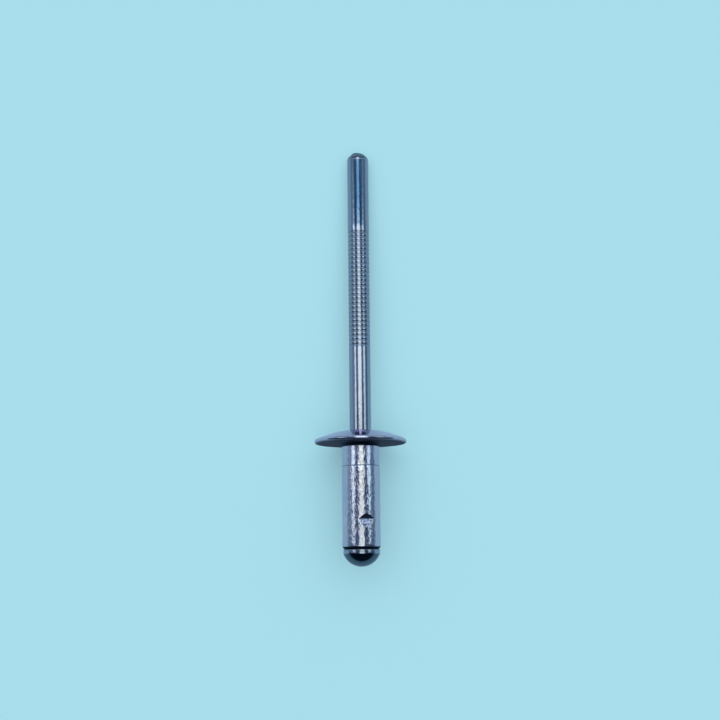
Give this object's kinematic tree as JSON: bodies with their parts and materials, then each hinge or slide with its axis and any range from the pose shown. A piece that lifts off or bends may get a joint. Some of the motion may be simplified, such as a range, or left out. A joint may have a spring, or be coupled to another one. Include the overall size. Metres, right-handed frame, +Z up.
{
  "type": "blind rivet",
  "caption": "Unset large-flange blind rivet: hollow steel sleeve with a domed flange on a grooved pull mandrel with a domed head.",
  "frame": {"origin": "middle of the lying rivet's footprint, on the surface that it lies on", "axes": "+Z up; +Y along the rivet as seen from above, from the head towards the mandrel's tip; +X to the right when +Y is ahead. The rivet leans 6.87 degrees, on its flange's rim and the mandrel's tip"},
  "size_m": [0.0156, 0.0714, 0.0156],
  "materials": {
    "sleeve_plating": "bright zinc-plated steel with lengthwise draw lines",
    "mandrel_plating": "bright zinc-plated drawn wire with rolled grooves"
  },
  "bodies": {
    "root": {"sleeve": "sleeve_plating", "mandrel": "mandrel_plating"}
  },
  "joints": []
}
